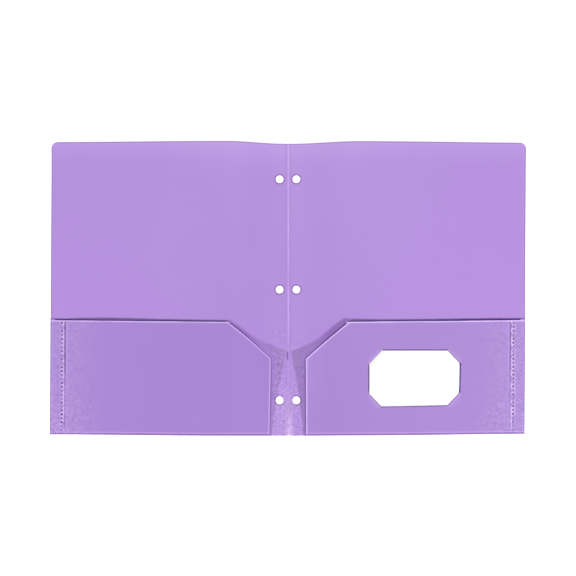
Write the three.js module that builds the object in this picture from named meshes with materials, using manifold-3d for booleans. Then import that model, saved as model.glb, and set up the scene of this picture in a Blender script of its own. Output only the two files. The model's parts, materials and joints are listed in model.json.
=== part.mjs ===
// A two-pocket folder of polypropylene sheet for letter paper, punched to be filed on three rings.
// It lies open on its back with the inside up. Millimetres, +X to the right leaf, +Y to the top edge, +Z up.
// The origin is on the surface it lies on, under the middle of the spine.
// The left leaf is the front cover and the right leaf is the back cover.

import * as THREE from "three";
import { mergeVertices } from "three/addons/utils/BufferGeometryUtils.js";
import Module from "manifold-3d";

const wasm = await Module();
wasm.setup();

// Sheet and leaves
const sheet_thickness = 0.45;
const sheet_height = 285;
const leaf_reach = 231.4;
const top_corner_radius = 6;

// Spine and its two creases
const crease_spacing = 3.7;
const crease_gap = 0.6;
const crease_web_diameter = 0.24;
const notch_width = 2.2;
const notch_height = 1.2;

// Ring holes
const ring_hole_diameter = 8;
const ring_hole_pitch = 107.95;
const ring_hole_to_spine_middle = 8.2;
const ring_holes_below_middle = 1.2;
const ring_hole_rows = [-1, 0, 1];

// Pockets
const pocket_height = 110.5;
const pocket_shoulder_height = 75;
const pocket_inner_edge = 16.8;
const pocket_mouth_start = 57.5;
const weld_tab_width = 13.5;

// Spot welds down each side of a pocket
const weld_to_side_edge = 10.9;
const weld_diameter = 1.5;
const weld_depth = 0.25;
const weld_pitch = 3.82;
const weld_end_margin = 3.4;

// Business card and the four slit corners that hold it
const card_width = 88.9;
const card_height = 54;
const card_thickness = 0.3;
const card_middle_to_spine_middle = 122.95;
const card_middle_above_bottom = 55;
const slit_run_across = 11.8;
const slit_run_up = 13.1;
const flap_border = 2.2;
const card_side_clearance = 0.3;
const card_top_clearance = 0.06;

// Facets of round shapes
const hole_facets = 32;
const fold_facets = 10;
const weld_facets = 10;

// Places worked out from the sizes above
const half_height = sheet_height / 2;
const bottom_y = -half_height;
const top_y = half_height;
const hinge_x = crease_spacing / 2;
const hinge_z = sheet_thickness / 2;
const cover_start_x = hinge_x + crease_gap / 2;
const strip_half_width = hinge_x - crease_gap / 2;
const panel_base_z = 2 * sheet_thickness;
const panel_top_z = panel_base_z + sheet_thickness;
const bottom_fold_radius = panel_top_z / 2;
const bottom_fold_y = bottom_y + bottom_fold_radius;
const side_fold_radius = sheet_thickness;
const side_fold_x = leaf_reach - side_fold_radius;
const mouth_y = bottom_y + pocket_height;
const shoulder_y = bottom_y + pocket_shoulder_height;
const card_y = bottom_y + card_middle_above_bottom;
const card_top_z = panel_top_z + card_thickness;
const flap_roof_z = card_top_z + card_top_clearance;
const cut_margin = 1;

const lavender = 0xb793dd;
const lavender_pocket = 0xad8ad6;
const lavender_crease = 0xcda9f0;
const card_white = 0xfcfcfa;

// A moulded or die-cut plastic finish in the given colour
function plastic(colour) {
  return new THREE.MeshStandardMaterial({ color: colour, roughness: 0.5, metalness: 0 });
}

// A flat piece of the given outline, thickness and base height
function plate(outline, thickness, base_z, facets = fold_facets) {
  const options = { depth: thickness, bevelEnabled: false, curveSegments: facets };
  return new THREE.ExtrudeGeometry(outline, options).translate(0, 0, base_z);
}

// A closed outline through points given as [x, y]
function outlineThrough(points) {
  return new THREE.Shape(points.map(([x, y]) => new THREE.Vector2(x, y)));
}

// A three.js geometry as a solid that can be cut
function toSolid(geometry) {
  const bare = geometry.clone();
  bare.deleteAttribute("normal");
  bare.deleteAttribute("uv");
  const merged = mergeVertices(bare);
  const vertProperties = Float32Array.from(merged.attributes.position.array);
  const triVerts = Uint32Array.from(merged.index.array);
  return new wasm.Manifold(new wasm.Mesh({ numProp: 3, vertProperties, triVerts }));
}

// A cut solid as a three.js geometry again
function toGeometry(solid) {
  const mesh = solid.getMesh();
  const geometry = new THREE.BufferGeometry();
  geometry.setAttribute("position", new THREE.BufferAttribute(mesh.vertProperties, 3));
  geometry.setIndex(new THREE.BufferAttribute(mesh.triVerts, 1));
  geometry.computeVertexNormals();
  return geometry;
}

function named(name, geometry, material) {
  const mesh = new THREE.Mesh(geometry, material);
  mesh.name = name;
  return mesh;
}

// One cover: the outer layer of a leaf, with its three ring holes. Side is 1 for the right leaf, -1 for the left.
function cover(side) {
  const outline = new THREE.Shape();
  const corner_x = leaf_reach - top_corner_radius;
  const corner_y = top_y - top_corner_radius;
  outline.moveTo(side * cover_start_x, bottom_y);
  outline.lineTo(side * pocket_inner_edge, bottom_y);
  outline.lineTo(side * pocket_inner_edge, bottom_fold_y);
  outline.lineTo(side * leaf_reach, bottom_fold_y);
  outline.lineTo(side * leaf_reach, corner_y);
  const start = side > 0 ? 0 : Math.PI;
  outline.absarc(side * corner_x, corner_y, top_corner_radius, start, Math.PI / 2, side < 0);
  outline.lineTo(side * cover_start_x, top_y);
  for (const row of ring_hole_rows) {
    const y = row * ring_hole_pitch - ring_holes_below_middle;
    const hole = new THREE.Path();
    hole.absarc(side * ring_hole_to_spine_middle, y, ring_hole_diameter / 2, 0, 2 * Math.PI);
    outline.holes.push(hole);
  }
  return plate(outline, sheet_thickness, 0, hole_facets);
}

// The strip between the two creases, with a small notch at its foot
function spineStrip() {
  const outline = outlineThrough([
    [-strip_half_width, bottom_y],
    [-notch_width / 2, bottom_y],
    [0, bottom_y + notch_height],
    [notch_width / 2, bottom_y],
    [strip_half_width, bottom_y],
    [strip_half_width, top_y],
    [-strip_half_width, top_y],
  ]);
  return plate(outline, sheet_thickness, 0);
}

// The thin web that the sheet is pressed down to at a crease, as a rod on the crease's axis
function creaseWeb(side) {
  const rod = new THREE.CylinderGeometry(
    crease_web_diameter / 2, crease_web_diameter / 2, sheet_height, weld_facets);
  return rod.translate(side * hinge_x, 0, hinge_z);
}

// The places of the spot welds up the side of a pocket, from its mouth down
function weldRow() {
  const room = mouth_y - bottom_fold_y - 2 * weld_end_margin;
  const gaps = Math.floor(room / weld_pitch);
  return Array.from({ length: gaps + 1 }, (_, i) => mouth_y - weld_end_margin - i * weld_pitch);
}

// One pocket's front panel, dimpled by its welds, with a cut-out for each card corner given
function pocketPanel(side, card_corners) {
  const outline = outlineThrough([
    [side * pocket_inner_edge, bottom_fold_y],
    [side * side_fold_x, bottom_fold_y],
    [side * side_fold_x, mouth_y],
    [side * pocket_mouth_start, mouth_y],
    [side * pocket_inner_edge, shoulder_y],
  ]);
  let panel = toSolid(plate(outline, sheet_thickness, panel_base_z));
  const weld_x = side * (leaf_reach - weld_to_side_edge);
  for (const y of weldRow()) {
    const dimple = new THREE.CylinderGeometry(
      weld_diameter / 2, weld_diameter / 2, 2 * weld_depth, weld_facets);
    dimple.rotateX(Math.PI / 2).translate(weld_x, y, panel_top_z);
    panel = panel.subtract(toSolid(dimple));
  }
  for (const corner of card_corners) {
    const reach = card_side_clearance;
    const opening = plate(
      cornerTriangle(corner, reach), sheet_thickness + 2 * cut_margin, panel_base_z - cut_margin);
    panel = panel.subtract(toSolid(opening));
  }
  return toGeometry(panel);
}

// The half-round fold that carries a pocket's panel up from the bottom of the cover
function bottomFold(side) {
  const inner_radius = bottom_fold_radius - sheet_thickness;
  const quarter = Math.PI / 2;
  const section = new THREE.Shape();
  section.absarc(bottom_fold_y, bottom_fold_radius, bottom_fold_radius, -quarter, quarter, true);
  section.absarc(bottom_fold_y, bottom_fold_radius, inner_radius, quarter, 3 * quarter, false);
  const length = leaf_reach - pocket_inner_edge;
  const fold = plate(section, length, 0);
  const section_to_leaf = new THREE.Matrix4().makeBasis(
    new THREE.Vector3(0, 1, 0), new THREE.Vector3(0, 0, 1), new THREE.Vector3(1, 0, 0));
  fold.applyMatrix4(section_to_leaf);
  return fold.translate(side > 0 ? pocket_inner_edge : -leaf_reach, 0, 0);
}

// The tight fold down a pocket's outer side, from its panel back to the weld tab under it
function sideFold(side) {
  const quarter = Math.PI / 2;
  const section = new THREE.Shape();
  section.absarc(side * side_fold_x, panel_base_z, side_fold_radius, -quarter, quarter, side < 0);
  section.closePath();
  const length = mouth_y - bottom_fold_y;
  return plate(section, length, 0).rotateX(Math.PI / 2).translate(0, mouth_y, 0);
}

// The tab folded under a pocket's outer side and welded to the cover
function weldTab(side) {
  const inner_x = leaf_reach - weld_tab_width;
  const outline = outlineThrough([
    [side * inner_x, bottom_fold_y],
    [side * side_fold_x, bottom_fold_y],
    [side * side_fold_x, mouth_y],
    [side * inner_x, mouth_y],
  ]);
  return plate(outline, sheet_thickness, sheet_thickness);
}

// A card corner's triangle, bounded by its slit. Across and up are 1 or -1, from the card's middle to the corner.
// Reach is how far the triangle runs past the card's own edges.
function cornerTriangle({ across, up }, reach) {
  const corner_x = card_middle_to_spine_middle + across * (card_width / 2);
  const corner_y = card_y + up * (card_height / 2);
  const run_across = slit_run_across * (1 + reach / slit_run_up);
  const run_up = slit_run_up * (1 + reach / slit_run_across);
  return outlineThrough([
    [corner_x + across * reach, corner_y + up * reach],
    [corner_x - across * run_across, corner_y + up * reach],
    [corner_x + across * reach, corner_y - up * run_up],
  ]);
}

// The corner of the panel beyond a slit, raised over the card and open on the slit's side
function cardFlap(corner) {
  const height = flap_roof_z + sheet_thickness - panel_top_z;
  const cap = toSolid(plate(cornerTriangle(corner, flap_border), height, panel_top_z));
  const room_width = card_width + 2 * card_side_clearance;
  const room_height = card_height + 2 * card_side_clearance;
  const room_depth = flap_roof_z - panel_top_z + cut_margin;
  const room = new THREE.BoxGeometry(room_width, room_height, room_depth);
  room.translate(card_middle_to_spine_middle, card_y, flap_roof_z - room_depth / 2);
  return toGeometry(cap.subtract(toSolid(room)));
}

function businessCard() {
  const card = new THREE.BoxGeometry(card_width, card_height, card_thickness);
  return card.translate(card_middle_to_spine_middle, card_y, panel_top_z + card_thickness / 2);
}

const card_corners = [
  { name: "card_flap_upper_inner", across: -1, up: 1 },
  { name: "card_flap_upper_outer", across: 1, up: 1 },
  { name: "card_flap_lower_inner", across: -1, up: -1 },
  { name: "card_flap_lower_outer", across: 1, up: -1 },
];

// The pieces that both leaves have
function leaf(side, name, corners) {
  const group = new THREE.Group();
  group.add(
    named(`${name}_cover`, cover(side), plastic(lavender)),
    named(`${name}_weld_tab`, weldTab(side), plastic(lavender)),
    named(`${name}_side_fold`, sideFold(side), plastic(lavender_pocket)),
    named(`${name}_bottom_fold`, bottomFold(side), plastic(lavender_pocket)),
    named(`${name}_pocket_panel`, pocketPanel(side, corners), plastic(lavender_pocket)),
  );
  return group;
}

const front_leaf = leaf(-1, "front", []);

const back_leaf = leaf(1, "back", card_corners);
for (const corner of card_corners) {
  back_leaf.add(named(corner.name, cardFlap(corner), plastic(lavender_pocket)));
}
const card_paper = new THREE.MeshStandardMaterial({ color: card_white, roughness: 0.8, metalness: 0 });
back_leaf.add(named("business_card", businessCard(), card_paper));

const spine = new THREE.Group();
spine.add(
  named("spine_strip", spineStrip(), plastic(lavender)),
  named("front_crease_web", creaseWeb(-1), plastic(lavender_crease)),
  named("back_crease_web", creaseWeb(1), plastic(lavender_crease)),
);

const folder = new THREE.Group();
folder.add(front_leaf, spine, back_leaf);

export default folder;
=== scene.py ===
import json
import math
from collections import namedtuple

import bmesh
import bpy
from mathutils import Matrix, Vector


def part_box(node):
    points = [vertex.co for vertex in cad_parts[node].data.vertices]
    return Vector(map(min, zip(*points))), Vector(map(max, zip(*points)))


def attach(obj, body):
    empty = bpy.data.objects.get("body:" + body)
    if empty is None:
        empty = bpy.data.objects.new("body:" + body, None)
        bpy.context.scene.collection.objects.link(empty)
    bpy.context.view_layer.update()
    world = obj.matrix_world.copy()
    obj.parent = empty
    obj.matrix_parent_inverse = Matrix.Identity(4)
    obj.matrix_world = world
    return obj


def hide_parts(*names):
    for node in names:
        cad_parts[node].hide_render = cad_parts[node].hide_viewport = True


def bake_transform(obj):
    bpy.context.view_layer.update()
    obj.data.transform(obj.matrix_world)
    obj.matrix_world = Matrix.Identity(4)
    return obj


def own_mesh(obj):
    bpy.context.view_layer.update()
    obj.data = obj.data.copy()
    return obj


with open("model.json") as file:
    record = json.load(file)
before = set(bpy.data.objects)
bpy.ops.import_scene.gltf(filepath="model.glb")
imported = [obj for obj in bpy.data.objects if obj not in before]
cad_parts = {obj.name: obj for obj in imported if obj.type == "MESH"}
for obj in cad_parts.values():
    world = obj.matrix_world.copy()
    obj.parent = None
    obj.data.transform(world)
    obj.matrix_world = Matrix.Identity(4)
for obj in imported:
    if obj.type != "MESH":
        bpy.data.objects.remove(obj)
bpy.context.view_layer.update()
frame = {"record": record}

# A two-pocket folder of lavender polypropylene sheet, lying open with its inside up. All in metres.
# The left leaf is the front cover and the right leaf is the back cover.

MM = 0.001

# Places read from the frame
cover_low, cover_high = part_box("back_cover")
panel_low, panel_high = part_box("back_pocket_panel")
tab_low, tab_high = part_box("back_weld_tab")
strip_low, strip_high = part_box("spine_strip")
web_low, web_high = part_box("back_crease_web")
card_low, card_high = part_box("business_card")
SHEET = cover_high.z
TOP = cover_high.y
BOTTOM = cover_low.y
REACH = cover_high.x
COVER_START = cover_low.x
POCKET_INNER = panel_low.x - 1.2 * MM
FOLD_X = panel_high.x
FOLD_Y = panel_low.y
MOUTH = panel_high.y + 0.7 * MM
PANEL_BASE = panel_low.z
PANEL_TOP = panel_high.z
TAB_INNER = tab_low.x - 1.0 * MM
HINGE_X = (web_low.x + web_high.x) / 2
CARD_MIDDLE = (card_low + card_high) / 2
CARD_HALF = (card_high - card_low) / 2
right_holes = [o["box_m"] for o in frame["record"]["physics"]["openings"] if o["box_m"][0][0] > 0]
HOLE_REACH = (right_holes[0][0][0] + right_holes[0][1][0]) / 2
HOLE_ROWS = sorted((low[1] + high[1]) / 2 for low, high in right_holes)

# Sizes of the cut sheet
RING_HOLE_RADIUS = 3.75 * MM
RING_HOLE_CELL = 5.6 * MM
TOP_CORNER_RADIUS = 6.0 * MM
POCKET_SHOULDER = BOTTOM + 75.0 * MM
MOUTH_START = 58.2 * MM
WELD_REACH = REACH - 11.7 * MM
WELD_PITCH = 3.82 * MM
WELD_RADIUS = 0.75 * MM
WELD_CELL = 1.25 * MM
WELD_DEPTH = 0.25 * MM
WELD_END_MARGIN = 3.4 * MM
NOTCH_HALF_WIDTH = 1.1 * MM
NOTCH_HEIGHT = 1.2 * MM
SLIT_RUN_ACROSS = 12.1 * MM
SLIT_RUN_UP = 12.7 * MM
FLAP_BORDER = 1.6 * MM
FLAP_RISE = 0.22 * MM
FLAP_SINK = 0.01 * MM
CARD_CORNER_SHIFTS = {"lower_inner": (0.4, 0.3), "lower_outer": (-1.3, 1.3),
                      "upper_inner": (0.4, 0.4), "upper_outer": (-0.3, -0.3)}
CARD_BOW = 0.3 * MM
CARD_CORNER_DROP = 0.52 * MM
CARD_TUCK_START = 2.4 * MM
CREASE_DEPTH = 0.08 * MM
RIM_ROUNDING = 0.1 * MM
RIM_ANGLE = math.radians(60)
SHARP_ANGLE = math.radians(20)

# How finely the pieces are divided
CELL = 4.0 * MM
CARD_CELL = 1.2 * MM
FLAP_CELL = 0.8 * MM
CREASE_CELL = 0.1 * MM
HOLE_SIDES = 40
WELD_SIDES = 10
CORNER_STEPS = 10
FOLD_STEPS = 12

# How the thin sheet arches as it lies open
OUTER_EDGE_HEIGHT = 0.8 * MM
OUT_OF_SQUARE = 0.0056
SPINE_DIP = 1.5 * MM
DIP_EXPONENT = 8
TOP_CURL = 0.9 * MM
TOP_CURL_DEPTH = 20.0 * MM

# Each leaf's own arch: where its crest is and how high, how the pocket's inner corner lifts,
# how the pocket's mouth gapes, how far the mouth slants up towards its outer end, how far the
# shoulder bulges up, how far outwards the pocket's inner edge lies at its upper end and at its foot,
# and how much shorter the leaf looks at its outer side
Leaf = namedtuple("Leaf", "name side body joint crest height corner_rise corner_reach "
                          "gape_middle gape_width gape slant bulge flare_high flare_low taper")
FRONT = Leaf("front", -1, "front_leaf", "front_crease_fold", 60 * MM, 5.8 * MM, 5.4 * MM, 40 * MM,
             172 * MM, 45 * MM, 1.2 * MM, 1.4 * MM, 2.2 * MM, 0.0, 1.7 * MM, 0.0)
BACK = Leaf("back", 1, "back_leaf", "back_crease_fold", 70 * MM, 5.0 * MM, 5.2 * MM, 40 * MM,
            48 * MM, 30 * MM, 1.6 * MM, 1.7 * MM, 0.8 * MM, 0.6 * MM, 0.9 * MM, 0.0042)
FLARE_REACH = 60.0 * MM
CORNER_EXPONENT = 1.45
CORNER_LIMIT = 1.4
WELD_HOLD = 14 * MM
MOUTH_SHARE = 0.15
MOUTH_EXPONENT = 3
SLANT_EXPONENT = 4


def ease(t):
    """A smooth rise from 0 to 1 as t goes from 0 to 1."""
    t = min(max(t, 0.0), 1.0)
    return (1 - math.cos(math.pi * t)) / 2


def arch(leaf, reach):
    """How high a leaf's underside stands, at a distance from the spine's middle."""
    rise = leaf.height * ease((reach - COVER_START) / (leaf.crest - COVER_START))
    fall = (leaf.height - OUTER_EDGE_HEIGHT) * ease((reach - leaf.crest) / (REACH - leaf.crest))
    return rise - fall


def curl(y):
    """How far the top edge curls up."""
    return TOP_CURL * max(0.0, 1 - (TOP - y) / TOP_CURL_DEPTH) ** 2


def gape(leaf, reach, y):
    """How far a pocket's panel stands off its cover beyond the folded layers."""
    up = y - FOLD_Y
    inner = max(0.0, 1 - (reach - POCKET_INNER) / (leaf.corner_reach - POCKET_INNER))
    climb = max(0.0, up / (POCKET_SHOULDER - FOLD_Y)) ** CORNER_EXPONENT
    corner = leaf.corner_rise * inner * inner * min(climb, CORNER_LIMIT)
    spread = math.exp(-(((reach - leaf.gape_middle) / leaf.gape_width) ** 2))
    share = MOUTH_SHARE + (1 - MOUTH_SHARE) * spread
    free = ease((TAB_INNER - reach) / WELD_HOLD)
    mouth = leaf.gape * share * free * max(0.0, up / (MOUTH - FOLD_Y)) ** MOUTH_EXPONENT
    return corner + mouth


def dip(leaf, reach, y):
    """How far the top and bottom edges sit towards the foot near the spine."""
    return SPINE_DIP * (1 - ease(reach / leaf.crest)) * (abs(y) / TOP) ** DIP_EXPONENT


def slant(leaf, reach, y):
    """How far up a pocket's mouth slants towards its outer side, and its shoulder bulges."""
    outwards = max(0.0, (reach - MOUTH_START) / (REACH - MOUTH_START))
    along = min(1.0, max(0.0, (reach - POCKET_INNER) / (MOUTH_START - POCKET_INNER)))
    up = leaf.slant * outwards + leaf.bulge * math.sin(math.pi * along)
    return up * max(0.0, (y - FOLD_Y) / (MOUTH - FOLD_Y)) ** SLANT_EXPONENT


def flare(leaf, reach, y):
    """How far outwards the inner part of a pocket lies, from its shoulder to its foot."""
    low = min(1.0, max(0.0, (POCKET_SHOULDER - y) / (POCKET_SHOULDER - FOLD_Y)))
    at_edge = leaf.flare_high * (1 - low) + leaf.flare_low * low
    return at_edge * max(0.0, 1 - (reach - POCKET_INNER) / FLARE_REACH)


def remember_flat(mesh):
    """Keeps each vertex's place on the flat sheet, for the marks on the plastic to follow."""
    flat = mesh.verts.layers.float_vector.new("flat")
    for v in mesh.verts:
        v[flat] = v.co


def settle(mesh, leaf, lifted, slanted):
    """Bends a flat piece to lie as the leaf does.

    Lifted pieces stand off the cover with the pocket's panel, and slanted ones follow its mouth."""
    remember_flat(mesh)
    for v in mesh.verts:
        reach = abs(v.co.x)
        v.co.z += arch(leaf, reach) + curl(v.co.y)
        if lifted:
            v.co.z += gape(leaf, reach, v.co.y)
        v.co.x += OUT_OF_SQUARE * v.co.y * reach / REACH
        if slanted:
            v.co.x += leaf.side * flare(leaf, reach, v.co.y)
        up = slant(leaf, reach, v.co.y) if slanted else 0.0
        up -= leaf.taper * v.co.y * (reach / REACH) ** 2
        v.co.y += up - dip(leaf, reach, v.co.y)


# Flat sheet work

def steps_between(low, high, step):
    """Evenly spaced places strictly between low and high, about step apart."""
    count = max(1, round((high - low) / step))
    return [low + (high - low) * i / count for i in range(1, count)]


def flat_face(corners, z):
    """A bmesh of one face through the corners, given as (x, y)."""
    mesh = bmesh.new()
    mesh.faces.new([mesh.verts.new((x, y, z)) for x, y in corners])
    return mesh


def cut_across(mesh, xs, ys):
    """Cuts the faces along lines at the given x and y."""
    lines = [((x, 0, 0), (1, 0, 0)) for x in xs] + [((0, y, 0), (0, 1, 0)) for y in ys]
    for place, normal in lines:
        everything = mesh.verts[:] + mesh.edges[:] + mesh.faces[:]
        bmesh.ops.bisect_plane(mesh, geom=everything, dist=1e-7, plane_co=place, plane_no=normal)


def nearest_face(mesh, x, y):
    """The face whose middle lies nearest to x, y."""
    return min(mesh.faces, key=lambda f: (f.calc_center_median().xy - Vector((x, y))).length)


def ring_in_cell(mesh, x, y, z, radius, sides, filled):
    """Puts a circle, open or filled, in place of the cell at x, y and joins it to the cell's edges.

    Returns the circle's vertices."""
    cell = nearest_face(mesh, x, y)
    border = list(cell.edges)
    bmesh.ops.delete(mesh, geom=[cell], context="FACES_ONLY")
    place = Matrix.Translation((x, y, z))
    made = bmesh.ops.create_circle(mesh, cap_ends=filled, radius=radius, segments=sides, matrix=place)
    ring = list({e for v in made["verts"] for e in v.link_edges})
    bmesh.ops.bridge_loops(mesh, edges=border + ring)
    return made["verts"]


def thicken(mesh, thickness):
    """Gives a single-layer sheet its thickness, upwards, and turns the faces outwards."""
    raised = bmesh.ops.extrude_face_region(mesh, geom=mesh.faces[:])["geom"]
    up = [g for g in raised if isinstance(g, bmesh.types.BMVert)]
    bmesh.ops.translate(mesh, verts=up, vec=(0, 0, thickness))
    bmesh.ops.recalc_face_normals(mesh, faces=mesh.faces)


def round_rims(mesh, joined=lambda middle: False):
    """Rounds the cut edges a little, apart from those where the next piece joins on."""
    rims = []
    for edge in mesh.edges:
        if len(edge.link_faces) == 2 and edge.calc_face_angle() > RIM_ANGLE:
            middle = (edge.verts[0].co + edge.verts[1].co) / 2
            level = [abs(f.normal.z) for f in edge.link_faces]
            if max(level) > 0.9 and min(level) < 0.1 and not joined(middle):
                rims.append(edge)
    bmesh.ops.bevel(mesh, geom=rims, offset=RIM_ROUNDING, offset_type="OFFSET", affect="EDGES",
                    segments=2, profile=0.5, material=-1)


def near(a, b):
    """Whether two places are the same, but for rounding."""
    return abs(a - b) < 0.02 * MM


def place_piece(name, mesh, material, nodes):
    """Makes an object of a finished bmesh, which stands for the CAD nodes."""
    bmesh.ops.recalc_face_normals(mesh, faces=mesh.faces)
    data = bpy.data.meshes.new(name)
    mesh.to_mesh(data)
    mesh.free()
    data.shade_smooth()
    data.set_sharp_from_angle(angle=SHARP_ANGLE)
    data.materials.append(material)
    piece = bpy.data.objects.new(name, data)
    bpy.context.scene.collection.objects.link(piece)
    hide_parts(*nodes)
    return piece


def leaf_piece(leaf, name, mesh, material, nodes, lifted=False, slanted=False):
    """A piece of one leaf, drawn on the right, put on its own side and bent."""
    bmesh.ops.scale(mesh, vec=(leaf.side, 1, 1), verts=mesh.verts)
    settle(mesh, leaf, lifted, slanted)
    piece = place_piece(name, mesh, material, nodes)
    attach(piece, leaf.body)
    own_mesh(piece)
    return piece


# Shader work

class Wire:
    """A number in a shader. Arithmetic on it adds the nodes that do the sum."""

    def __init__(self, finish, socket):
        self.finish = finish
        self.socket = socket

    def sum(self, operation, first, second=None):
        inputs = {0: first} if second is None else {0: first, 1: second}
        return self.finish.node("ShaderNodeMath", {"operation": operation}, inputs)

    def __add__(self, other):
        return self.sum("ADD", self, other)

    def __radd__(self, other):
        return self.sum("ADD", other, self)

    def __sub__(self, other):
        return self.sum("SUBTRACT", self, other)

    def __rsub__(self, other):
        return self.sum("SUBTRACT", other, self)

    def __mul__(self, other):
        return self.sum("MULTIPLY", self, other)

    def __rmul__(self, other):
        return self.sum("MULTIPLY", other, self)

    def __truediv__(self, other):
        return self.sum("DIVIDE", self, other)

    def __neg__(self):
        return self.sum("MULTIPLY", self, -1.0)

    def __abs__(self):
        return self.sum("ABSOLUTE", self)

    def least(self, other):
        return self.sum("MINIMUM", self, other)

    def most(self, other):
        return self.sum("MAXIMUM", self, other)

    def wrapped(self, length):
        """The rest after whole lengths are taken away."""
        return self.sum("FLOORED_MODULO", self, length)

    def root(self):
        return self.sum("SQRT", self)


class Finish:
    """A procedural material, built up node by node."""

    def __init__(self, name):
        self.material = bpy.data.materials.new(name)
        self.material.use_nodes = True
        self.tree = self.material.node_tree
        self.shader = self.tree.nodes["Principled BSDF"]
        self.at = self.node("ShaderNodeAttribute", {"attribute_name": "flat"}, {}, "Vector")

    def node(self, kind, settings, inputs, output=0):
        """Adds a node with its settings and its inputs' values or links, and returns one output."""
        made = self.tree.nodes.new(kind)
        for key, value in settings.items():
            setattr(made, key, value)
        self.feed(made, inputs)
        return Wire(self, made.outputs[output])

    def feed(self, made, inputs):
        for key, value in inputs.items():
            if isinstance(value, Wire):
                self.tree.links.new(value.socket, made.inputs[key])
            else:
                made.inputs[key].default_value = value

    def xyz(self):
        apart = self.tree.nodes.new("ShaderNodeSeparateXYZ")
        self.feed(apart, {0: self.at})
        return [Wire(self, s) for s in apart.outputs]

    def noise(self, size, detail=2.0, roughness=0.5):
        """Noise from 0 to 1 with features of about the given size."""
        inputs = {"Vector": self.at, "Scale": 1 / size, "Detail": detail, "Roughness": roughness}
        return self.node("ShaderNodeTexNoise", {}, inputs)

    def rise(self, value, low, high):
        """0 below low and 1 above high, smooth between."""
        inputs = {"Value": value, "From Min": low, "From Max": high}
        return self.node("ShaderNodeMapRange", {"interpolation_type": "SMOOTHSTEP"}, inputs)

    def band(self, value, middle, half_width, softness):
        """1 where value is within half_width of middle, and 0 further off."""
        return 1 - self.rise(abs(value - middle), half_width, half_width + softness)

    def blend(self, amount, first, second):
        """A colour between first and second."""
        return self.node("ShaderNodeMix", {"data_type": "RGBA"}, {0: amount, 6: first, 7: second}, 2)

    def relief(self, height, distance, strength=1.0, under=None):
        """A normal for a height from 0 to 1 that stands for a real distance."""
        inputs = {"Height": height, "Distance": distance, "Strength": strength}
        if under is not None:
            inputs["Normal"] = under
        return self.node("ShaderNodeBump", {}, inputs)


def seen(red, green, blue):
    """A colour given as it looks on the screen, from 0 to 255, as a shader colour."""
    parts = [c / 255 for c in (red, green, blue)]
    return [c / 12.92 if c <= 0.04045 else ((c + 0.055) / 1.055) ** 2.4 for c in parts] + [1.0]


COVER_COLOUR = seen(182, 143, 222)
POCKET_COLOUR = seen(169, 132, 211)
HAZE_COLOUR = seen(188, 160, 222)
BLOOM_COLOUR = seen(200, 180, 216)
# Painted shade on the cover beside the pockets' shoulders
SHOULDER_SHADE_COLOUR = seen(150, 89, 202)
# Pale colour of stretched plastic, also used for painted light
PALE_STRETCH_AND_LIGHT_COLOUR = seen(208, 174, 242)
# Painted highlight on edges and ridges, and whitened wear
HIGHLIGHT_AND_WEAR_COLOUR = seen(228, 196, 255)
# Painted shade at edges, holes, slits and round the card, and dark grit and knurl
PAINTED_SHADE_AND_MARK_COLOUR = seen(58, 12, 114)
WELD_AND_SHADE_COLOUR = seen(80, 42, 120)
# The creases' colour, painted a little darker as painted shade in their grooves
CREASE_SHADE_COLOUR = seen(178, 139, 216)
CARD_COLOUR = seen(255, 255, 254)

# Sizes of the texture and the marks on the sheet
CLOUD_SIZE = 38 * MM
GRAIN_SIZE = 0.35 * MM
GRAIN_DEPTH = 0.02 * MM
KNURL_DEPTH = 0.12 * MM
KNURL_PERIOD = 3.4 * MM
KNURL_REACH = REACH - 7.0 * MM
HALO_RADIUS = 1.9 * MM
# Widths of the painted shade lines along the sheets' edges and the pockets' feet
EDGE_SHADE_WIDTH = 0.9 * MM
FOOT_SHADE_WIDTH = 1.7 * MM
# Place of the painted shadow tick on the spine strip
SHADOW_TICK_PLACE = -65.7 * MM


def sheet_plastic(name, colour, marks):
    """Satin polypropylene sheet with a cloudy colour and a fine sand grain.

    What marks returns is added to its colour and height."""
    finish = Finish(name)
    x, y = finish.xyz()[:2]
    cloud = finish.noise(CLOUD_SIZE, 3.0)
    tone = finish.blend(0.12 * cloud, colour, [c * 1.25 for c in colour[:3]] + [1.0])
    tone, height = marks(finish, x, y, tone)
    grain = finish.noise(GRAIN_SIZE, 2.0, 0.6)
    normal = finish.relief(grain, GRAIN_DEPTH, 0.5)
    if height is not None:
        normal = finish.relief(height, KNURL_DEPTH, 0.8, normal)
    shine = 0.40 + 0.08 * finish.noise(9 * MM, 2.0)
    finish.feed(finish.shader, {"Base Color": tone, "Roughness": shine, "Normal": normal,
                                "Specular IOR Level": 0.4, "IOR": 1.49})
    return finish.material


def edge_shade_and_highlight(finish, edge, width, tone, dark, pale):
    """A cut or folded edge, painted: a dark line of some width at the very edge, which is painted shade, and
    a pale lip behind it, which is a painted highlight.
    """
    lip = finish.band(edge, width + 0.85 * MM, 0.42 * MM, 0.4 * MM)
    tone = finish.blend(pale * lip, tone, HIGHLIGHT_AND_WEAR_COLOUR)
    line = 1 - finish.rise(edge, width, width + 0.35 * MM)
    return finish.blend(dark * line, tone, PAINTED_SHADE_AND_MARK_COLOUR)


def on_right(finish, x):
    """1 on the right leaf and 0 on the left one."""
    return finish.rise(x, -MM, MM)


def flecks(finish, where, tone):
    """Pale and dark grit in the sand texture where the sheet has been stressed."""
    pale = finish.rise(finish.noise(2.2 * MM, 2.0, 0.6), 0.46, 0.62)
    dark = finish.rise(finish.noise(2.9 * MM, 2.0, 0.6), 0.52, 0.66)
    tone = finish.blend(0.45 * where * pale, tone, PALE_STRETCH_AND_LIGHT_COLOUR)
    return finish.blend(0.17 * where * dark, tone, PAINTED_SHADE_AND_MARK_COLOUR)


def painted_light_top(finish, y, tone):
    """The strip along the top edge, painted a little paler as painted light from above."""
    near_top = 1 - finish.rise(TOP - y, 0.0, 24 * MM)
    return finish.blend(0.22 * near_top, tone, PALE_STRETCH_AND_LIGHT_COLOUR)


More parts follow.
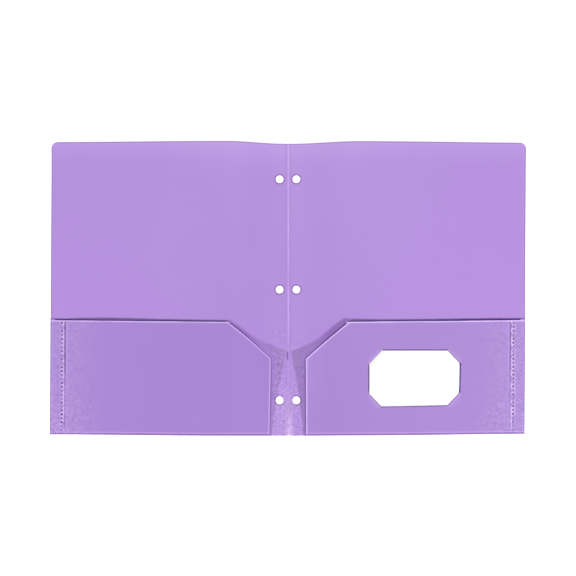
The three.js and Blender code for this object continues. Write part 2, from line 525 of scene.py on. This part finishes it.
def worn_foot(finish, x, y, tone):
    """The pale bloom low on the spine, and the whitened wear at its foot towards the back cover."""
    bloom = 1 - finish.rise(y, -115 * MM, -92 * MM)
    wide = finish.band(x, -3 * MM, 8 * MM, 2 * MM)
    narrow = finish.band(x, 0.5 * MM, 3.5 * MM, 2 * MM)
    tone = finish.blend(bloom * (0.15 * wide + 0.20 * narrow), tone, BLOOM_COLOUR)
    foot = (1 - finish.rise(y, -134 * MM, -120 * MM)) * finish.rise(x, -1.2 * MM, 0.2 * MM)
    across = 1 - finish.rise(x, 3.4 * MM, 5.2 * MM)
    patch = 0.35 + 0.65 * finish.rise(finish.noise(3 * MM, 2.0), 0.40, 0.60)
    return finish.blend(0.85 * foot * across * patch, tone, HIGHLIGHT_AND_WEAR_COLOUR)


def past_shoulder(reach, y):
    """How far inside the pocket's slanted shoulder a place is."""
    slope = Vector((MOUTH_START - POCKET_INNER, MOUTH - POCKET_SHOULDER)).normalized()
    return (reach - POCKET_INNER) * slope.y - (y - POCKET_SHOULDER) * slope.x


def painted_shade_beside_shoulder(finish, x, y, tone):
    """The cover's colour painted deeper close beside the pocket's shoulder, as painted shade under the lifted
    panel, and painted light on the shade's tip at the spine.
    """
    reach = abs(x)
    out = -past_shoulder(reach, y)
    width = (6.6 + 2.0 * on_right(finish, x)) * MM - 0.12 * (reach - 25 * MM)
    along = finish.rise(reach, 20 * MM, 42 * MM) * (1 - finish.rise(reach, 56 * MM, 60 * MM))
    inside = finish.rise(finish.xyz()[2], 0.5 * SHEET, 0.9 * SHEET)
    close = 1 - finish.rise(out, width - 2.5 * MM, width)
    tone = finish.blend(0.42 * along * inside * close, tone, SHOULDER_SHADE_COLOUR)
    # Painted light that lightens the shade where the two pockets' shadows meet at the spine.
    tip = (1 - finish.rise(reach, 9 * MM, 15 * MM)) * finish.band(y, -64 * MM, 6 * MM, 5 * MM)
    return finish.blend(0.14 * tip, tone, PALE_STRETCH_AND_LIGHT_COLOUR)


def cover_marks(finish, x, y, tone):
    """The cover's marks: painted light along its top, painted shade and highlight at its edges, painted shade
    round the ring holes and beside the pockets' shoulders, a darker tone towards the spine, and the stressed
    plastic beside the creases.
    """
    pitch = HOLE_ROWS[1] - HOLE_ROWS[0]
    reach = abs(x)
    tone = painted_light_top(finish, y, tone)
    edge = (REACH - reach).least(TOP - y).least(y - BOTTOM)
    tone = edge_shade_and_highlight(finish, edge, EDGE_SHADE_WIDTH, tone, 0.32, 0.05)
    up = (y - HOLE_ROWS[1] + pitch / 2).wrapped(pitch) - pitch / 2
    across = reach - HOLE_REACH
    from_hole = (across * across + up * up).root()
    # A darker ring painted round each ring hole: painted shade at its rim.
    hole_shade = 1 - finish.rise(from_hole, RING_HOLE_RADIUS + 0.9 * MM, RING_HOLE_RADIUS + 2.1 * MM)
    tone = finish.blend(0.38 * hole_shade, tone, PAINTED_SHADE_AND_MARK_COLOUR)
    tone = painted_shade_beside_shoulder(finish, x, y, worn_foot(finish, x, y, tone))
    low = 1 - finish.rise(y, -72 * MM, -55 * MM)
    left = finish.rise(-x, 0.0, 4 * MM)
    # The cover painted a shade darker towards the spine, above the pockets, more on the left leaf.
    deeper = (1 - finish.rise(reach, 45 * MM, 125 * MM)) * (1 - low)
    deeper = deeper * (1 - finish.rise(y, 100 * MM, 128 * MM))
    tone = finish.blend((0.02 + 0.03 * left) * deeper, tone, PAINTED_SHADE_AND_MARK_COLOUR)
    foot = (1 - finish.rise(reach, 13 * MM, 24 * MM)) * (1 - finish.rise(y, -45 * MM, 5 * MM))
    return flecks(finish, foot * (0.45 + 0.15 * left + low * (0.50 + 0.35 * left)), tone), None


def weld_marks(finish, x, y, row, right, tone):
    """The row of spot welds, each in a pale halo that is stronger on its inner side."""
    along = (MOUTH - WELD_END_MARGIN - y + WELD_PITCH / 2).wrapped(WELD_PITCH) - WELD_PITCH / 2
    across = abs(x) - WELD_REACH
    from_weld = (across * across + along * along).root()
    patch = finish.noise(4.6 * MM, 1.0)
    halo = finish.band(from_weld, HALO_RADIUS, 0.5 * MM, 0.6 * MM) * finish.rise(patch, 0.40, 0.56)
    inward = 1 - (0.70 - 0.35 * right) * finish.rise(across, 0.2 * MM, 1.0 * MM)
    tone = finish.blend((0.70 + 0.25 * right) * inward * row * halo, tone, HIGHLIGHT_AND_WEAR_COLOUR)
    spot = 1 - finish.rise(from_weld, WELD_RADIUS, 1.4 * MM)
    weld = spot * (0.3 + 0.7 * finish.rise(patch, 0.42, 0.58))
    return finish.blend(0.95 * row * weld, tone, WELD_AND_SHADE_COLOUR)


def knurl_marks(finish, x, y, right, tone):
    """The knurled strip outside the welds, worn in patches. Returns its height as well."""
    turns = (x - y) * (2 * math.pi / KNURL_PERIOD)
    knurl = 0.5 + 0.5 * finish.node("ShaderNodeMath", {"operation": "SINE"}, {0: turns})
    strip = finish.band(abs(x), KNURL_REACH, 3.0 * MM, 1.4 * MM)
    worn = strip * (0.25 + 0.75 * finish.rise(finish.noise(6 * MM, 2.0), 0.40, 0.60))
    tone = finish.blend((0.12 + 0.42 * right) * worn * knurl, tone, PALE_STRETCH_AND_LIGHT_COLOUR)
    tone = finish.blend((0.07 + 0.15 * right) * worn * (1 - knurl), tone, PAINTED_SHADE_AND_MARK_COLOUR)
    return tone, worn * knurl


def tab_marks(finish, x, y, row, right, tone):
    """The edge of the weld tab inside the welds: a dark line, partly the tab showing through the panel and
    partly painted shade of the panel's step over it, with a paler band beside it.
    """
    reach = abs(x)
    along = (0.40 + 0.60 * finish.rise(y, -95 * MM, -75 * MM)) * row
    beside = finish.band(abs(reach - TAB_INNER), 2.0 * MM, 0.4 * MM, 0.5 * MM)
    tone = finish.blend(0.40 * along * beside, tone, PALE_STRETCH_AND_LIGHT_COLOUR)
    line = finish.band(reach, TAB_INNER, 0.4 * MM, 0.6 * MM)
    return finish.blend((0.62 - 0.12 * right) * along * line, tone, WELD_AND_SHADE_COLOUR)


def side_marks(finish, x, y, tone):
    """What shows down a pocket's outer side. Returns the colour and the height."""
    row = finish.rise(y, BOTTOM + 3 * MM, BOTTOM + 6 * MM) * finish.rise(MOUTH - y, 1 * MM, 3 * MM)
    right = on_right(finish, x)
    tone = weld_marks(finish, x, y, row, right, tone)
    tone, height = knurl_marks(finish, x, y, right, tone)
    return tab_marks(finish, x, y, row, right, tone), height


def card_warp(x, y):
    """How far a place on the card is shifted, because the bowed card looks a little out of square."""
    outward = (x - card_low.x) / (card_high.x - card_low.x)
    down = (card_high.y - y) / (card_high.y - card_low.y)
    shares = {"lower_inner": (1 - outward) * down, "lower_outer": outward * down,
              "upper_inner": (1 - outward) * (1 - down), "upper_outer": outward * (1 - down)}
    shift_x = sum(shares[c] * (CARD_CORNER_SHIFTS[c][0] * MM) for c in shares)
    shift_y = sum(shares[c] * (CARD_CORNER_SHIFTS[c][1] * MM) for c in shares)
    return shift_x, shift_y


def in_from_card_edges(x, y):
    """How far in from the square card's side edges and from its top and bottom edges a place is."""
    return CARD_HALF.x - abs(x - CARD_MIDDLE.x), CARD_HALF.y - abs(y - CARD_MIDDLE.y)


def card_frame(x, y):
    """How far in from the askew card's side edges and from its top and bottom edges a place is."""
    shift_x, shift_y = card_warp(x, y)
    return in_from_card_edges(x - shift_x, y - shift_y)


def past_slit(from_side, from_top):
    """How far past a corner's slit a place is, towards the card's corner."""
    run = SLIT_RUN_ACROSS * SLIT_RUN_UP - from_side * SLIT_RUN_UP - from_top * SLIT_RUN_ACROSS
    return run / math.hypot(SLIT_RUN_ACROSS, SLIT_RUN_UP)


def pocket_haze(finish, x, tone):
    """The faint pale haze of the pockets, stronger outwards and on the right."""
    right = on_right(finish, x)
    reach = abs(x)
    outwards = 0.06 * finish.rise(reach, 90 * MM, 210 * MM) + 0.16 * finish.rise(reach, 180 * MM, 215 * MM)
    return finish.blend(outwards * (1 - 0.6 * right) + 0.19 * right, tone, HAZE_COLOUR)


def slit_end_shadows(finish, x, y, tone):
    """Dark spots painted where the two outer slits end beside the card: painted shadow in the gaps there."""
    from_side, from_top = card_frame(x, y)
    beside = finish.band(from_side, -0.6 * MM, 0.8 * MM, 0.5 * MM)
    outwards = finish.rise(x, CARD_MIDDLE.x, card_high.x)
    at_end = finish.band(from_top, SLIT_RUN_UP + 0.6 * MM, 0.8 * MM, 0.5 * MM)
    return finish.blend(0.95 * beside * outwards * at_end, tone, PAINTED_SHADE_AND_MARK_COLOUR)


def card_shadow_line(finish, x, y, tone):
    """The painted shadow line around the card, between its slits, where the card stands proud of the panel.
    """
    from_side, from_top = card_frame(x, y)
    outer = finish.rise(x, CARD_MIDDLE.x + 0.8 * CARD_HALF.x, card_high.x)
    width = (0.7 + 0.35 * outer) * MM
    line = finish.band(-(from_side.least(from_top)), 0.4 * MM, width, 0.4 * MM)
    in_line = 1 - finish.rise(past_slit(from_side, from_top), -0.5 * MM, 0.5 * MM)
    return finish.blend((0.50 + 0.25 * outer) * line * in_line, tone, PAINTED_SHADE_AND_MARK_COLOUR)


def pocket_edges(finish, x, y, tone):
    """The cut edges of the pocket's inner side and mouth, and its folded outer and bottom edges, each with
    painted shade at the edge and a painted highlight behind it; at the mouth the dark line is the painted
    shade of the gap.
    """
    reach = abs(x)
    right = on_right(finish, x)
    inner = (reach - POCKET_INNER).least(past_shoulder(reach, y))
    upper = finish.rise(y, POCKET_SHOULDER + 2 * MM, POCKET_SHOULDER + 22 * MM)
    darkness = 0.42 + 0.16 * right + (0.42 - 0.14 * right) * upper
    tone = edge_shade_and_highlight(finish, inner, (0.7 + 0.35 * right) * MM, tone, darkness, 0.50 + 0.35 * right)
    lip = 0.65 + 0.35 * finish.rise(finish.noise(34 * MM, 1.0), 0.4, 0.6)
    shut = 1 - finish.rise(reach, REACH - 6 * MM, REACH - 3.5 * MM)
    mouth_shade_width = (0.75 + 0.30 * finish.rise(x, 125 * MM, 150 * MM)) * MM
    tone = edge_shade_and_highlight(finish, MOUTH - y, mouth_shade_width, tone, shut, lip * (0.75 + 0.25 * right))
    tone = edge_shade_and_highlight(finish, REACH - reach, EDGE_SHADE_WIDTH, tone, 0.30, 0.10)
    return edge_shade_and_highlight(finish, y - BOTTOM, FOOT_SHADE_WIDTH, tone, 0.32, 0.30)


def pocket_marks(finish, x, y, tone):
    """The pocket's haze and grit, its edges with painted shade and highlight, the painted shadow round the
    card and at the slits' ends, and its welded outer side.
    """
    tone = pocket_haze(finish, x, tone)
    gritty = finish.rise(abs(x), 170 * MM, 222 * MM)
    low = 1 - finish.rise(y, -125 * MM, -95 * MM)
    tone = flecks(finish, gritty * (0.60 + 0.45 * low), tone)
    tone, height = side_marks(finish, x, y, tone)
    tone = slit_end_shadows(finish, x, y, card_shadow_line(finish, x, y, tone))
    return pocket_edges(finish, x, y, tone), height


def flap_marks(finish, x, y, tone):
    """A flap's free edge along the slit: a dark line there, which is painted shade, and the flap painted
    paler near the slit, partly stretched plastic and partly painted light on its raised corner.
    """
    tone = pocket_haze(finish, x, tone)
    past = past_slit(*in_from_card_edges(x, y))
    tone = finish.blend(0.22 * (1 - finish.rise(past, 0.0, 7 * MM)), tone, PALE_STRETCH_AND_LIGHT_COLOUR)
    tone = slit_end_shadows(finish, x, y, tone)
    open_slits = finish.rise((x - CARD_MIDDLE.x) * (y - CARD_MIDDLE.y), 0.0, MM * MM)
    width = (0.20 + 0.25 * open_slits) * MM
    return edge_shade_and_highlight(finish, past, width, tone, 0.45 + 0.30 * open_slits, 0.15), None


def strip_marks(finish, x, y, tone):
    """The strip's pale ridge, partly whitened and partly a painted highlight, worn and gritty at the foot,
    with a painted shadow tick between the pocket corners.
    """
    tone = painted_light_top(finish, y, tone)
    strength = 0.22 + 0.28 * finish.rise(finish.noise(40 * MM, 1.0), 0.4, 0.6)
    strength = strength * (0.25 + 0.75 * finish.rise(y, -66 * MM, -60 * MM))
    # A pale line along the ridge: partly whitened plastic, partly a painted highlight.
    ridge = finish.band(x, 0.4 * MM, 0.3 * MM, 0.7 * MM) * strength
    tone = worn_foot(finish, x, y, finish.blend(ridge, tone, HIGHLIGHT_AND_WEAR_COLOUR))
    tone = flecks(finish, 0.9 * (1 - finish.rise(y, -110 * MM, -62 * MM)), tone)
    # A short dark tick: painted shadow where the two pockets' shadows overlap.
    nick = finish.band(x, -0.3 * MM, 0.35 * MM, 0.4 * MM) * finish.band(y, SHADOW_TICK_PLACE, 3.0 * MM, 1.5 * MM)
    tone = finish.blend(0.7 * nick, tone, PAINTED_SHADE_AND_MARK_COLOUR)
    edge = (y - BOTTOM).least(TOP - y)
    return edge_shade_and_highlight(finish, edge, EDGE_SHADE_WIDTH, tone, 0.30, 0.05), None


def crease_marks(finish, x, y, tone):
    """The creases only wear at the foot."""
    return worn_foot(finish, x, y, tone), None


def card_paper():
    """Smooth uncoated card with a faint fibre."""
    finish = Finish("card_paper")
    fibre = finish.noise(0.5 * MM, 4.0, 0.7)
    shade = [c * 0.98 for c in CARD_COLOUR[:3]] + [1.0]
    tone = finish.blend(0.4 * finish.noise(14 * MM, 3.0), CARD_COLOUR, shade)
    finish.feed(finish.shader, {"Base Color": tone, "Roughness": 0.75,
                                "Normal": finish.relief(fibre, 0.02 * MM, 0.4)})
    return finish.material


cover_plastic = sheet_plastic("cover_plastic", COVER_COLOUR, cover_marks)
pocket_plastic = sheet_plastic("pocket_plastic", POCKET_COLOUR, pocket_marks)
flap_plastic = sheet_plastic("flap_plastic", POCKET_COLOUR, flap_marks)
strip_plastic = sheet_plastic("strip_plastic", COVER_COLOUR, strip_marks)
crease_plastic = sheet_plastic("crease_plastic", CREASE_SHADE_COLOUR, crease_marks)
white_card = card_paper()


# The folder's pieces

def make_cover(leaf):
    """A leaf's outer sheet with three ring holes and a rounded top corner."""
    corners = [(COVER_START, BOTTOM), (REACH, BOTTOM), (REACH, TOP), (COVER_START, TOP)]
    mesh = flat_face(corners, 0)
    mesh.verts.ensure_lookup_table()
    bmesh.ops.bevel(mesh, geom=[mesh.verts[2]], offset=TOP_CORNER_RADIUS, affect="VERTICES",
                    segments=CORNER_STEPS, profile=0.5, material=-1)
    xs = [HOLE_REACH - RING_HOLE_CELL, HOLE_REACH + RING_HOLE_CELL]
    ys = [y + side * RING_HOLE_CELL for y in HOLE_ROWS for side in (-1, 1)]
    xs += steps_between(xs[-1], REACH, CELL)
    stops = sorted([BOTTOM, TOP] + ys)
    for low, high in zip(stops, stops[1:]):
        if high - low > 3 * RING_HOLE_CELL:
            ys = ys + steps_between(low, high, 2 * CELL)
    cut_across(mesh, xs, ys)
    for y in HOLE_ROWS:
        ring_in_cell(mesh, HOLE_REACH, y, 0, RING_HOLE_RADIUS, HOLE_SIDES, filled=False)
    thicken(mesh, SHEET)
    round_rims(mesh)
    leaf_piece(leaf, f"{leaf.name}_cover_sheet", mesh, cover_plastic, [f"{leaf.name}_cover"])


def weld_rows():
    room = panel_high.y - FOLD_Y - 2 * WELD_END_MARGIN
    return [MOUTH - WELD_END_MARGIN - i * WELD_PITCH for i in range(int(room / WELD_PITCH) + 1)]


def make_panel(leaf):
    """A pocket's front panel with its row of welds."""
    corners = [(POCKET_INNER, FOLD_Y), (FOLD_X, FOLD_Y), (FOLD_X, MOUTH),
               (MOUTH_START, MOUTH), (POCKET_INNER, POCKET_SHOULDER)]
    mesh = flat_face(corners, PANEL_BASE)
    rows = weld_rows()
    xs = [WELD_REACH - WELD_CELL, WELD_REACH + WELD_CELL]
    xs += steps_between(POCKET_INNER, xs[0], CELL) + steps_between(xs[1], FOLD_X, CELL)
    ys = [y + side * WELD_CELL for y in rows for side in (-1, 1)]
    cut_across(mesh, xs, ys)
    for y in rows:
        floor = ring_in_cell(mesh, WELD_REACH, y, PANEL_BASE, WELD_RADIUS, WELD_SIDES, filled=True)
        bmesh.ops.translate(mesh, verts=floor, vec=(0, 0, -WELD_DEPTH))
    thicken(mesh, SHEET)
    round_rims(mesh, lambda m: near(m.y, FOLD_Y) or near(m.x, FOLD_X))
    leaf_piece(leaf, f"{leaf.name}_pocket_sheet", mesh, pocket_plastic,
               [f"{leaf.name}_pocket_panel"], lifted=True, slanted=True)


def turned_section(corners, centre, axis, angle):
    """A flat section through the corners, spun about an axis into a solid fold."""
    mesh = bmesh.new()
    mesh.faces.new([mesh.verts.new(c) for c in corners])
    bmesh.ops.spin(mesh, geom=mesh.verts[:] + mesh.edges[:] + mesh.faces[:], cent=centre, axis=axis,
                   dvec=(0, 0, 0), angle=angle, steps=FOLD_STEPS, use_duplicate=False)
    bmesh.ops.remove_doubles(mesh, verts=mesh.verts, dist=1e-6)
    bmesh.ops.recalc_face_normals(mesh, faces=mesh.faces)
    return mesh


def make_bottom_fold(leaf):
    """The half-round fold along the foot of a pocket."""
    corners = [(POCKET_INNER, FOLD_Y, 0), (REACH, FOLD_Y, 0),
               (REACH, FOLD_Y, SHEET), (POCKET_INNER, FOLD_Y, SHEET)]
    centre = (0, FOLD_Y, PANEL_TOP / 2)
    mesh = turned_section(corners, centre, (1, 0, 0), -math.pi)
    cut_across(mesh, steps_between(POCKET_INNER, REACH, CELL), [])
    leaf_piece(leaf, f"{leaf.name}_bottom_fold_sheet", mesh, pocket_plastic,
               [f"{leaf.name}_bottom_fold"], slanted=True)


def make_side_fold(leaf):
    """The tight fold down a pocket's outer side, and the tab that it carries under the panel."""
    centre = (FOLD_X, 0, PANEL_BASE)
    corners = [(FOLD_X, FOLD_Y, PANEL_BASE - SHEET), (FOLD_X, MOUTH, PANEL_BASE - SHEET),
               (FOLD_X, MOUTH, PANEL_BASE), (FOLD_X, FOLD_Y, PANEL_BASE)]
    mesh = turned_section(corners, centre, (0, 1, 0), -math.pi)
    cut_across(mesh, [], steps_between(FOLD_Y, MOUTH, CELL))
    leaf_piece(leaf, f"{leaf.name}_side_fold_sheet", mesh, pocket_plastic,
               [f"{leaf.name}_side_fold"], slanted=True)
    tab = flat_face([(TAB_INNER, FOLD_Y), (FOLD_X, FOLD_Y), (FOLD_X, MOUTH), (TAB_INNER, MOUTH)], SHEET)
    cut_across(tab, steps_between(TAB_INNER, FOLD_X, CELL), steps_between(FOLD_Y, MOUTH, 2 * CELL))
    thicken(tab, SHEET)
    leaf_piece(leaf, f"{leaf.name}_weld_tab_sheet", tab, pocket_plastic,
               [f"{leaf.name}_weld_tab"], slanted=True)


def make_spine():
    """The strip between the creases, and the pressed crease on each side of it."""
    half = strip_high.x
    corners = [(-half, BOTTOM), (-NOTCH_HALF_WIDTH, BOTTOM), (0, BOTTOM + NOTCH_HEIGHT),
               (NOTCH_HALF_WIDTH, BOTTOM), (half, BOTTOM), (half, TOP), (-half, TOP)]
    mesh = flat_face(corners, 0)
    cut_across(mesh, [0], steps_between(BOTTOM, TOP, 2 * CELL))
    thicken(mesh, SHEET)
    remember_flat(mesh)
    for v in mesh.verts:
        v.co.z += curl(v.co.y)
        v.co.y -= dip(BACK, abs(v.co.x), v.co.y)
    strip = place_piece("spine_strip_sheet", mesh, strip_plastic, ["spine_strip"])
    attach(strip, "spine")
    for leaf in (FRONT, BACK):
        make_crease(leaf)


def make_crease(leaf):
    """A living crease: a thin groove between a cover and the spine strip."""
    inner, outer = strip_high.x, COVER_START
    mesh = flat_face([(inner, BOTTOM), (outer, BOTTOM), (outer, TOP), (inner, TOP)], 0)
    cut_across(mesh, steps_between(inner, outer, CREASE_CELL), steps_between(BOTTOM, TOP, 2 * CELL))
    thicken(mesh, SHEET)
    remember_flat(mesh)
    for v in mesh.verts:
        depth = CREASE_DEPTH * (1 - abs(v.co.x - HINGE_X) / (COVER_START - HINGE_X))
        v.co.z += curl(v.co.y) + (depth if v.co.z < SHEET / 2 else -depth)
        v.co.x *= leaf.side
        v.co.y -= dip(leaf, abs(v.co.x), v.co.y)
    crease = place_piece(f"{leaf.name}_crease_band", mesh, crease_plastic,
                         [f"{leaf.name}_crease_web"])
    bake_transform(crease)


def make_card():
    """The blank card, a little askew, bowed proud of the panel with its corners tucked through the slits."""
    mesh = flat_face([(card_low.x, card_low.y), (card_high.x, card_low.y),
                      (card_high.x, card_high.y), (card_low.x, card_high.y)], PANEL_TOP)
    xs = steps_between(card_low.x, card_high.x, CARD_CELL)
    ys = steps_between(card_low.y, card_high.y, CARD_CELL)
    cut_across(mesh, xs, ys)
    thicken(mesh, card_high.z - card_low.z)
    for v in mesh.verts:
        past = past_slit(*in_from_card_edges(v.co.x, v.co.y))
        tucked = ease(1 + past / CARD_TUCK_START)
        v.co.z += CARD_BOW - CARD_CORNER_DROP * tucked - 0.1 * max(0.0, past)
        shift_x, shift_y = card_warp(v.co.x, v.co.y)
        v.co.x += shift_x
        v.co.y += shift_y
    leaf_piece(BACK, "business_card_paper", mesh, white_card, ["business_card"],
               lifted=True, slanted=True)


def make_flap(name, across, up):
    """The panel's corner beyond a slit, a little proud over the card's corner and level again past it."""
    corner = CARD_MIDDLE + Vector((across * CARD_HALF.x, up * CARD_HALF.y, 0))
    run_across = SLIT_RUN_ACROSS * (1 + FLAP_BORDER / SLIT_RUN_UP)
    run_up = SLIT_RUN_UP * (1 + FLAP_BORDER / SLIT_RUN_ACROSS)
    outer = Vector((corner.x + across * FLAP_BORDER, corner.y + up * FLAP_BORDER))
    corners = [(outer.x, outer.y), (corner.x - across * run_across, outer.y),
               (outer.x, corner.y - up * run_up)]
    mesh = flat_face(corners, PANEL_TOP - SHEET)
    low_x, high_x = sorted([outer.x, corner.x - across * run_across])
    low_y, high_y = sorted([outer.y, corner.y - up * run_up])
    cut_across(mesh, steps_between(low_x, high_x, FLAP_CELL), steps_between(low_y, high_y, FLAP_CELL))
    thicken(mesh, SHEET)
    for v in mesh.verts:
        inside = min(abs(v.co.x - outer.x), abs(v.co.y - outer.y))
        past = past_slit(*in_from_card_edges(v.co.x, v.co.y))
        sloped = 1 - past / past_slit(-FLAP_BORDER, -FLAP_BORDER)
        v.co.z += FLAP_RISE * ease(inside / (2 * FLAP_BORDER)) * sloped - FLAP_SINK
    leaf_piece(BACK, f"{name}_sheet", mesh, flap_plastic, [name],
               lifted=True, slanted=True)


for leaf in (FRONT, BACK):
    make_cover(leaf)
    make_panel(leaf)
    make_bottom_fold(leaf)
    make_side_fold(leaf)
make_spine()
make_card()
make_flap("card_flap_upper_inner", -1, 1)
make_flap("card_flap_upper_outer", 1, 1)
make_flap("card_flap_lower_inner", -1, -1)
make_flap("card_flap_lower_outer", 1, -1)


# The table, the lamps and the camera

CAMERA_HEIGHT = 0.6
PICTURE_WIDTH_ON_TABLE = 0.5630
SENSOR_WIDTH = 36.0
CAMERA_ACROSS = 0.0
CAMERA_UP = 0.0004
TABLE_SIZE = 8.0
TABLE_DROP = 0.05 * MM
LAMP_DISTANCE = 2.5
LAMP_SIZE = 0.2
LEFT_LAMP_POWER = 37.0
RIGHT_LAMP_POWER = 45.5
TOP_LAMP_SIZE = 1.2
TOP_LAMP_POWER = 19.0
SKY_STRENGTH = 0.175

# The lamps' sides and heights, as angles around the folder and above the table
LEFT_LAMP_SIDE = 205
RIGHT_LAMP_SIDE = -25
SIDE_LAMP_HEIGHT = 24
TOP_LAMP_SIDE = 90
TOP_LAMP_HEIGHT = 72


def make_table():
    """A plain white table that looks white to the camera, and keeps a soft shadow."""
    mesh = bmesh.new()
    bmesh.ops.create_grid(mesh, x_segments=1, y_segments=1, size=TABLE_SIZE / 2,
                          matrix=Matrix.Translation((0, 0, -TABLE_DROP)))
    data = bpy.data.meshes.new("table")
    mesh.to_mesh(data)
    mesh.free()
    table = bpy.data.objects.new("table", data)
    bpy.context.scene.collection.objects.link(table)
    finish = Finish("table_white")
    path = finish.tree.nodes.new("ShaderNodeLightPath")
    rays = ("Is Camera Ray", "Is Glossy Ray", "Is Transmission Ray")
    by_camera, by_gloss, by_glass = [Wire(finish, path.outputs[ray]) for ray in rays]
    direct = by_camera.most(by_gloss).most(by_glass)
    finish.feed(finish.shader, {"Base Color": [0.85, 0.85, 0.85, 1.0], "Roughness": 0.9,
                                "Emission Color": 0.7 * direct, "Emission Strength": 1.0})
    data.materials.append(finish.material)


def make_sky():
    """A plain white surround, full white to the camera and weaker as a light."""
    world = bpy.data.worlds.new("studio")
    bpy.context.scene.world = world
    world.use_nodes = True
    nodes, links = world.node_tree.nodes, world.node_tree.links
    path = nodes.new("ShaderNodeLightPath")
    glow = nodes.new("ShaderNodeMapRange")
    glow.inputs["To Min"].default_value = SKY_STRENGTH
    links.new(path.outputs["Is Camera Ray"], glow.inputs["Value"])
    background = nodes["Background"]
    background.inputs["Color"].default_value = (1, 1, 1, 1)
    links.new(glow.outputs[0], background.inputs["Strength"])


def make_lamp(name, azimuth, elevation, power, size):
    """A square soft lamp aimed at the folder's middle."""
    light = bpy.data.lights.new(name, "AREA")
    light.size = size
    light.energy = power
    lamp = bpy.data.objects.new(name, light)
    bpy.context.scene.collection.objects.link(lamp)
    a, e = math.radians(azimuth), math.radians(elevation)
    back = Vector((math.cos(a) * math.cos(e), math.sin(a) * math.cos(e), math.sin(e)))
    lamp.location = back * LAMP_DISTANCE
    lamp.rotation_mode = "QUATERNION"
    lamp.rotation_quaternion = (-back).to_track_quat("-Z", "Y")
    lamp.visible_camera = False


def make_camera():
    """Straight above the folder, as in the photograph."""
    camera = bpy.data.cameras.new("camera")
    camera.sensor_width = SENSOR_WIDTH
    camera.lens = SENSOR_WIDTH * CAMERA_HEIGHT / PICTURE_WIDTH_ON_TABLE
    camera.clip_start = 0.01
    holder = bpy.data.objects.new("camera", camera)
    bpy.context.scene.collection.objects.link(holder)
    holder.location = (CAMERA_ACROSS, CAMERA_UP, CAMERA_HEIGHT)
    bpy.context.scene.camera = holder


make_table()
make_sky()
make_lamp("left_lamp", LEFT_LAMP_SIDE, SIDE_LAMP_HEIGHT, LEFT_LAMP_POWER, LAMP_SIZE)
make_lamp("right_lamp", RIGHT_LAMP_SIDE, SIDE_LAMP_HEIGHT, RIGHT_LAMP_POWER, LAMP_SIZE)
make_lamp("top_lamp", TOP_LAMP_SIDE, TOP_LAMP_HEIGHT, TOP_LAMP_POWER, TOP_LAMP_SIZE)
make_camera()
bpy.context.scene.view_settings.view_transform = "Standard"
